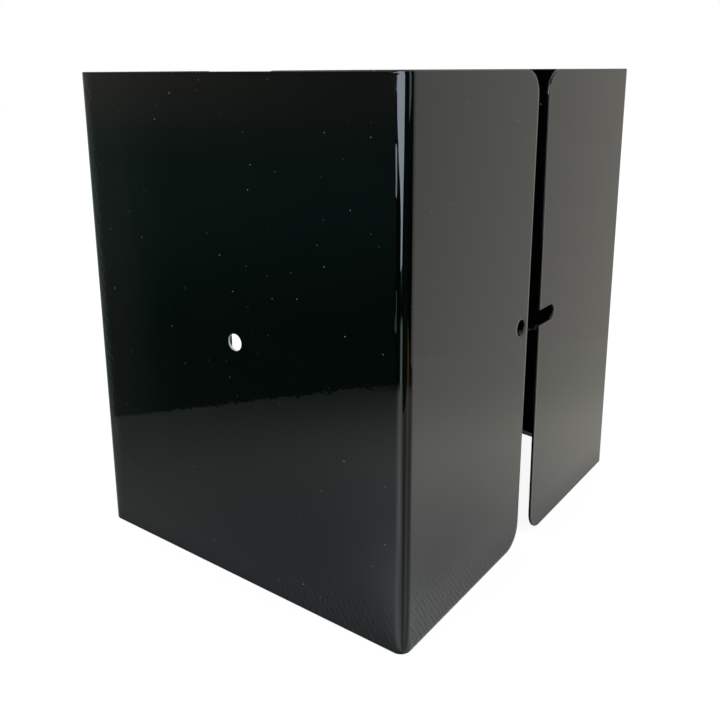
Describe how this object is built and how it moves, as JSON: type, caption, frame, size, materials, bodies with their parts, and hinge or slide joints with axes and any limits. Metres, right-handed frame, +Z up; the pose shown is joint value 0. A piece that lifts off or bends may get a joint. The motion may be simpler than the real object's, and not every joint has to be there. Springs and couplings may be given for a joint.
{
  "type": "post guard bracket",
  "caption": "Square post guard of folded sheet steel, gloss black: U-shaped halves that lap at a screw hole and an open slot.",
  "frame": {"origin": "on the post's axis at ground level: midway across the front web, and midway in depth between the front web's outer face and the rear half's visible bend", "axes": "+Z up along the post; -Y out of the front half's web; +X out of the front half's holed flange"},
  "size_m": [0.1308, 0.1551, 0.1524],
  "materials": {
    "black_coat": "gloss black powder coat"
  },
  "bodies": {
    "root": {"front_half": "black_coat", "rear_half": "black_coat"}
  },
  "joints": []
}
